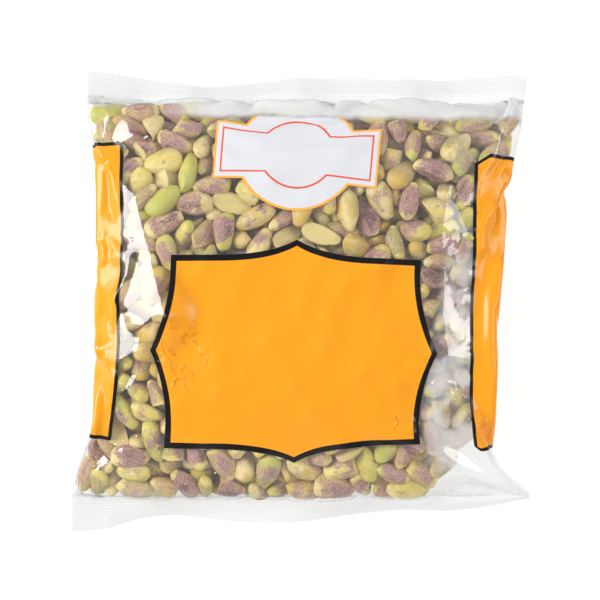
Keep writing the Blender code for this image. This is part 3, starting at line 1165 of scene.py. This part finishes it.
def seal_points(edge, reaches, way, droop):
    """A strip of points from the edge of the body outwards. Droop is 1 to tip down and -1 to tip up."""
    out = np.arange(0, SEAL_WEB + SEAL_ROW / 2, SEAL_ROW)
    share = out / SEAL_WEB
    reach = np.interp(edge[:, 0] / MM, *zip(*reaches)) * MM
    reach = np.convolve(np.pad(reach, 3, mode="edge"), np.ones(7) / 7, mode="valid") / SEAL_WEB
    scale = np.maximum(np.minimum(reach / LEAST_REACH, 1), reach)
    tip = np.interp(-reach / scale, -REACHED, TIPPED)
    bend = tip[None, :] * np.minimum(share * BEND_SPEED, 1)[:, None]
    step = (SEAL_ROW * scale)[None, :]
    y = np.cumsum(np.cos(bend) * step, axis=0) - step
    z = -droop * (np.cumsum(np.sin(bend) * step, axis=0) - np.sin(bend[:1]) * step)
    rib = RIB_HEIGHT * np.sin(2 * np.pi * out / RIB_PITCH) * np.clip(out / MM - 1, 0, 1)
    points = np.stack([np.tile(edge[:, 0], (len(out), 1)), edge[:, 1] + way * y, edge[:, 2] + z], axis=2)
    points[:, :, 2] += rib[:, None] * np.cos(bend)
    points[:, :, 1] += way * droop * rib[:, None] * np.sin(bend)
    points[:, :, 2] = np.maximum(points[:, :, 2], SEAL_GAP)
    place = np.zeros(points.shape)
    place[:, :, 0] = np.linspace(-half_girth / 2, half_girth / 2, len(edge))
    place[:, :, 1] = way * (web_length / 2 + out[:, None])
    return points, place


front_columns = np.arange(columns // 4, columns * 3 // 4 + 1)
print("points along a seal", len(front_columns))

# %% [markdown]
# ## The prints
#
# Three orange panels with black outlines and one white badge are printed on the web. Their outlines are
# sums of simple curves in the flat web, so they stay sharp at any size: the large panel has sides that
# rise to a cusp in their middle, and the badge is a narrow-waisted banner over an oval. The texts that
# such a bag carries are left out, and their places are bare.

# %% Inks and sizes of the prints, in mm in the flat web
ORANGE = (0.95, 0.356, 0.014, 1)
BLACK = (0.007, 0.006, 0.007, 1)
WHITE = (0.71, 0.715, 0.74, 1)
RIM_ORANGE = (0.97, 0.45, 0.08, 1)
LINE_RED = (0.80, 0.11, 0.06, 1)

PANEL_AT, PANEL_HALF = (-1.8, -21.0), (48.9, 35.7)
PANEL_CUSPS, CUSP_POWERS = (8.1, 6.2), (2.2, 4.2)  # for the upright and the level sides
PANEL_LINE = 2.4
PANEL_TAPER = 0.0009
BADGE_AT, BADGE_TURN = (-3.0, 57.8), np.radians(-3)
BADGE_HALF, BADGE_FLARE, BADGE_RIM = (32.4, 10.2), 1.4, 0.9
OVAL_AT, OVAL_HALF = (0.2, 0.2), (24.0, 22.4)
FRAME_INSETS, FRAME_LINE = (2.1, 7.2), 0.36  # of the thin line, from the banner and from the oval
BADGE_HIDDEN = (75.2, 73.8)  # the folds under the top seal hide the badge from here upwards
BAND_INNER, BAND_OUTER, BAND_SHIFT, BAND_TILT = 74.9, 106.0, 1.3, 0.012
BAND_MIDDLE, BAND_SKEW, BAND_HALF, BAND_LINE = 0.5, 1.6, 58.35, 1.5
BAND_BOW_FROM, BAND_BOW = 20.0, 0.06  # the right band leans in above this height
SLANT_FROM, SLANT = 75.4, 0.7  # the bands' inner corners are cut
print("large panel", 2 * PANEL_HALF[0], "by", 2 * PANEL_HALF[1], "mm, badge", 2 * BADGE_HALF[0], "mm wide")

# %% The prints as a node group


def inside(distance, edge=0.0):
    """1 where a distance in mm is under the edge, with a soft step of a tenth of a millimetre."""
    return remap(distance, edge + 0.06, edge - 0.06)


def panel_distance(s, t):
    """Distance outside the large panel: a rectangle whose sides rise to a cusp in the middle."""
    u, v = s - PANEL_AT[0], t - PANEL_AT[1]
    v = v + v * (larger(u, 0.0) * PANEL_TAPER)
    far = []
    for along, over, way in ((u, v, 1), (v, u, 0)):
        left = larger(1.0 - abs(along) / PANEL_HALF[1 - way], 0.0)
        far.append(abs(over) - (left ** CUSP_POWERS[way] * PANEL_CUSPS[way] + PANEL_HALF[way]))
    return larger(*far)


def band_distance(s, t):
    """Distance outside the two bands at the sides, whose lines follow the lean of the bag."""
    bow = larger(t - BAND_BOW_FROM, 0.0) * BAND_BOW
    reach = abs(s + BAND_SHIFT) + t * BAND_TILT + bow * calculate("GREATER_THAN", s, 0.0)
    over = abs(reach - (BAND_INNER + BAND_OUTER) / 2) - (BAND_OUTER - BAND_INNER) / 2
    slant = larger(SLANT_FROM - abs(s), 0.0) * SLANT
    ends = abs(t + calculate("SIGN", s) * BAND_SKEW - BAND_MIDDLE) - BAND_HALF
    return larger(over, ends + slant)


def badge_distances(flat):
    """Distances outside the badge, a banner over an oval turned a little, and from its thin line."""
    inputs = {"Vector": flat, "Center": (*BADGE_AT, 0), "Angle": -BADGE_TURN}
    turned = add(flat.tree, "ShaderNodeVectorRotate", inputs, rotation_type="Z_AXIS")
    p, q, _ = split(turned)
    p, q = p - BADGE_AT[0], q - BADGE_AT[1]
    flare = (abs(p) / BADGE_HALF[0]) ** 2.0 * BADGE_FLARE
    banner = larger(abs(p) - BADGE_HALF[0], abs(q) - BADGE_HALF[1] - flare)
    round_p, round_q = (p - OVAL_AT[0]) / OVAL_HALF[0], (q - OVAL_AT[1]) / OVAL_HALF[1]
    oval = (calculate("SQRT", round_p * round_p + round_q * round_q) - 1.0) * 20.0
    framed = smaller(banner + FRAME_INSETS[0], oval + FRAME_INSETS[1])
    return smaller(banner, oval), abs(framed) - FRAME_LINE


def build_prints():
    """All inks of the bag: where there is ink, and its colour."""
    tree, (place,), out = new_group("bag_prints", {"Place": VECTOR}, {"Ink": NUMBER, "Colour": COLOUR})
    flat = in_mm(place)
    s, t, _ = split(flat)
    panel, band = panel_distance(s, t), band_distance(s, t)
    badge, line = badge_distances(flat)
    colour = blend_of(inside(panel), BLACK, ORANGE)
    colour = blend_of(inside(band), colour, ORANGE)
    colour = blend_of(inside(badge, BADGE_RIM), colour, RIM_ORANGE)
    colour = blend_of(inside(badge), colour, WHITE)
    colour = blend_of(inside(line) * inside(badge), colour, LINE_RED)
    ink = larger(inside(panel, PANEL_LINE), inside(band, BAND_LINE))
    ink = larger(ink, inside(badge, BADGE_RIM) * remap(t, *BADGE_HIDDEN))
    fill(out, {"Ink": ink, "Colour": colour})
    return tree


bag_prints = build_prints()
print(bag_prints.name, len(bag_prints.nodes), "nodes")

# %% [markdown]
# ## The film material
#
# Clear film shows itself by three things: it mirrors more the flatter it is seen, each tiny crease
# scatters a little light, and near the welds it turns milky. The mirror share comes from Fresnel, with
# the index turned over on the inside of the film, because light leaves the same layer there. The haze
# is a thin share of white diffuse.

# %% How milky the film is, as a node group
LEAST_HAZE, MOST_HAZE = 0.06, 0.9


def build_haze():
    """Haze near both seals, in upright veils on the right that are partly a painted reflection of the right
    soft box, in the empty corner and under the top seal.
    """
    tree, (place,), out = new_group("film_haze", {"Place": VECTOR}, {"Haze": NUMBER})
    flat = in_mm(place)
    s, t, _ = split(flat)
    drift = noise(flat, 0.06, 3.0)
    front = remap(s, 92.0, 86.0)
    seal = remap(abs(t) + drift * 14.0, 83.0, 97.0, 0.0, 0.45)
    # The upright veil on the right is partly milky film and partly a painted reflection of the right soft
    # box.
    veil_and_painted_reflection = remap(s + remap(t, 10.0, -35.0, 0.0, 8.0), 57.0, 65.0, 0.0, 0.56)
    veil_and_painted_reflection = veil_and_painted_reflection * remap(drift, 0.40, 0.55, 0.2, 1.0) * remap(t, 32.0, 6.0, 0.12, 1.0) * front
    corner = remap(t, -46.0, -66.0, 0.0, 0.35) * remap(s, 50.0, 78.0) * front
    hood = remap(t + drift * 7.0, 75.4, 79.8, 0.0, 0.8) * remap(s, -62.0, -36.0)
    haze = larger(larger(seal, veil_and_painted_reflection), larger(corner, hood))
    fill(out, {"Haze": haze + LEAST_HAZE})
    return tree


film_haze = build_haze()
print(film_haze.name, len(film_haze.nodes), "nodes")

# %% Small curled creases, as a node group
# Where they show: middle and half sizes, in mm in the flat web.
CURLED_PLACES = (((-49, -23), (15, 17)), ((-64, -62), (12, 9)), ((66, 30), (10, 36)), ((43, -50), (6, 8)))


def near_places(flat, places):
    """1 in the middle of each oval place, and 0 outside all of them."""
    spread = None
    for (x, y), (wide, tall) in places:
        way = vectors("MULTIPLY", vectors("SUBTRACT", flat, (x, y, 0)), (1 / wide, 1 / tall, 0))
        near = remap(vectors("LENGTH", way), 1.0, 0.6)
        spread = near if spread is None else larger(spread, near)
    return spread


def build_creases():
    """Height of small curled creases in a few handled places: level lines of a soft noise."""
    tree, (place,), out = new_group("film_creases", {"Place": VECTOR}, {"Height": NUMBER})
    flat = in_mm(place)
    ridge = remap(abs(noise(flat, 0.15, 1.0) - 0.5), 0.0, 0.09, 1.0, 0.0)
    ridge = ridge * remap(noise(flat, 0.11, 0.0), 0.46, 0.54)
    fill(out, {"Height": ridge * near_places(flat, CURLED_PLACES)})
    return tree


film_creases = build_creases()
print(film_creases.name, len(film_creases.nodes), "nodes")

# %% What the film is like
FILM_INDEX = 1.5
WELD_INDEX = 1.15  # a weld mirrors little, because its ribs scatter the light
WELD_ROUGHNESS = 0.3
# Grey painted over the left ends of the welds as painted shade.
WELD_END_SHADE_GREY = (0.76, 0.77, 0.78, 1)
INK_ROUGHNESS = 0.27
INK_INDEX = 1.34


mirrored_above = ((FILM_INDEX - 1) / (FILM_INDEX + 1)) ** 2
print("share of light from above that the film mirrors", round(mirrored_above, 3))

# %% The parts of a film material


def film_fresnel(tree, index, normal):
    """How much the film mirrors, seen from its outside or from its inside."""
    inner = add(tree, "ShaderNodeNewGeometry", output="Backfacing")
    return add(tree, "ShaderNodeFresnel", {"IOR": inner * (1 / index - index) + index, "Normal": normal})


def mixed(share, first, second):
    """A shader between two others."""
    return add(share.tree, "ShaderNodeMixShader", {0: share, 1: first, 2: second})


def film_body_shader(tree, place, bump, index, milk, rough, white, through_share):
    """Clear film with its haze under its mirror: the haze is lit from its front and from behind."""
    haze = smaller(place_group(tree, film_haze, {"Place": place})["Haze"] + milk, MOST_HAZE)
    clear = add(tree, "ShaderNodeBsdfTransparent")
    lit = add(tree, "ShaderNodeBsdfDiffuse", {"Color": white, "Normal": bump})
    through = add(tree, "ShaderNodeBsdfTranslucent", {"Color": white})
    milky = add(tree, "ShaderNodeMixShader", {0: through_share, 1: lit, 2: through})
    glossy = add(tree, "ShaderNodeBsdfGlossy", {"Roughness": rough, "Normal": bump})
    return mixed(film_fresnel(tree, index, bump), mixed(haze, clear, milky), glossy)


print("most haze", MOST_HAZE)

# %% Film materials


def film_material(name, index, milk, rough, white, through_share, printed=True):
    """Film with its creases, and with its prints where it has them."""
    made, tree, ink = new_material(name)
    place = attribute(tree, "film_place", "Vector")
    bump = bump_of(noise(place, 240.0, 4.0), 0.5, 0.16)
    crease = place_group(tree, film_creases, {"Place": place})["Height"]
    bump = bump_of(crease, 1.0, 0.45, Normal=bump)
    white = (white, white + 0.01, white + 0.02, 1)
    if not printed:
        # The left end of a weld is painted greyer: painted shade that makes up for the extra light it gets
        # there, where the bag casts no shadow.
        white = layered(white, (WELD_END_SHADE_GREY, split(place)[0], -62 * MM, -90 * MM, 0.0, 0.9))
    final = film_body_shader(tree, place, bump, index, milk, rough, white, through_share)
    if printed:
        prints = place_group(tree, bag_prints, {"Place": place})
        fill(ink, {"Base Color": prints["Colour"], "Normal": bump})
        fill(ink, {"Roughness": INK_ROUGHNESS, "IOR": INK_INDEX})
        final = mixed(prints["Ink"], final, Output(ink.outputs[0]))
    else:
        tree.nodes.remove(ink)
    fill(tree.nodes["Material Output"], {"Surface": final})
    return made


clear_film = film_material("clear_film", FILM_INDEX, 0.0, 0.04, 0.90, 0.15)
# Both welds are one material. The lower one has a whiter colour and less milk: it is painted lighter to
# make up for the shade the bag casts on it.
upper_seal_film = film_material("upper_seal_film", WELD_INDEX, 0.5, WELD_ROUGHNESS, 0.92, 0.7, False)
lower_seal_film_painted_lighter = film_material("lower_seal_film_painted_lighter", WELD_INDEX, 0.4, WELD_ROUGHNESS, 0.95, 0.7, False)
print("film materials", clear_film.name, upper_seal_film.name, lower_seal_film_painted_lighter.name)

# %% Make the film's pieces


def film_piece(name, points, place, look):
    """A sheet of film from a grid of points and each point's place in the flat web."""
    made = mesh_object(name, points.reshape(-1, 3), *grid_faces(*points.shape[:2]), look)
    keep_attribute(made, "film_place", "FLOAT_VECTOR", place.reshape(-1, 3))
    print(name, points.shape[0], "by", points.shape[1], "points")
    return made


top_edge, bottom_edge = net[-1, front_columns], net[0, front_columns]
film_body = film_piece("film_body", sheet, flat_place, clear_film)
seals = [
    film_piece("top_crimp_seal", *seal_points(top_edge, TOP_REACH, 1, -1), upper_seal_film),
    film_piece("bottom_crimp_seal", *seal_points(bottom_edge, BOTTOM_REACH, -1, 1), lower_seal_film_painted_lighter),
]

# %% [markdown]
# ## Studio
#
# The bag lies on a white light table and is seen from straight above. The ceiling is dim, so the flat
# front of the film mirrors little, and two large soft boxes stand low on both sides, which the steep
# facets of the film mirror as hard white shapes.

# %% The light table
TABLE_HALF = 1.5
TABLE_GLOW = 0.86
TABLE_PAINT = (0.2, 0.2, 0.2, 1)


def glowing_table(name):
    """A table top that glows evenly and also takes a little of the light that falls on it."""
    made, tree, plain = new_material(name)
    tree.nodes.remove(plain)
    light = add(tree, "ShaderNodeEmission", {"Color": (1, 1, 1, 1), "Strength": TABLE_GLOW})
    paint = add(tree, "ShaderNodeBsdfDiffuse", {"Color": TABLE_PAINT})
    both = add(tree, "ShaderNodeAddShader", {0: light, 1: paint})
    fill(tree.nodes["Material Output"], {"Surface": both})
    corners = np.array([[-1, -1, 0], [1, -1, 0], [1, 1, 0], [-1, 1, 0]]) * TABLE_HALF
    return mesh_object(name, corners, np.arange(4), np.array([4]), made)


floor = glowing_table("light_table")
floor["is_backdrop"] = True
print("table", 2 * TABLE_HALF, "m wide")

# %% The camera
CAMERA_LENS = 100
SENSOR = 36
FRAME_WIDTH = 240 * MM
SEEN_LEVEL = 17 * MM

scene = bpy.context.scene
camera = bpy.data.objects.new("camera", bpy.data.cameras.new("camera"))
camera.data.lens = CAMERA_LENS
camera.data.sensor_width = SENSOR
camera.location = (0, 0, SEEN_LEVEL + FRAME_WIDTH * CAMERA_LENS / SENSOR)
scene.collection.objects.link(camera)
scene.camera = camera
print("camera at", round(camera.location.z, 3), "m")

# %% Soft boxes and the dim room
# For each box: where it stands, its sides in m and its power in W. All of them face the bag.
SOFT_BOXES = (
    ("left_soft_box", (-0.99, 0.16, 0.67), (0.42, 0.51), 13.0),
    ("right_soft_box", (1.06, 0.08, 0.74), (0.42, 0.54), 6.8),
    ("top_soft_box", (0.0, 0.75, 0.75), (0.9, 0.35), 0.8),
    ("bottom_soft_box", (0.0, -0.75, 0.65), (0.9, 0.35), 0.9),
)
ROOM_COLOUR = (0.95, 0.97, 1.0, 1)
ROOM_STRENGTH = 0.39

for name, spot, sides, power in SOFT_BOXES:
    light = bpy.data.lights.new(name, "AREA")
    light.shape = "RECTANGLE"
    light.size, light.size_y = sides
    light.energy = power
    box = bpy.data.objects.new(name, light)
    box.location = spot
    box.rotation_euler = (-box.location).to_track_quat("-Z", "Y").to_euler()
    scene.collection.objects.link(box)
    print(name, power, "W")

world = bpy.data.worlds.new("studio")
world.use_nodes = True
fill(world.node_tree.nodes["Background"], {"Color": ROOM_COLOUR, "Strength": ROOM_STRENGTH})
scene.world = world
scene.view_settings.view_transform = "Standard"

# %% Hand the pieces over
for piece in kernel_pieces:
    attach(piece, "root")
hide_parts("kernel_heap")
for node, piece in rim_pieces.items():
    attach(piece, "root")
    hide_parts(node)
for piece in (film_body, *seals):
    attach(piece, "root")
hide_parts("film_bag")

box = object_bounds()
size = {"cad": [list(side) for side in cad_box], "scene": [list(side) for side in box]}
print("scene box", [round(float(side) / MM, 1) for side in box[1] - box[0]], "mm")
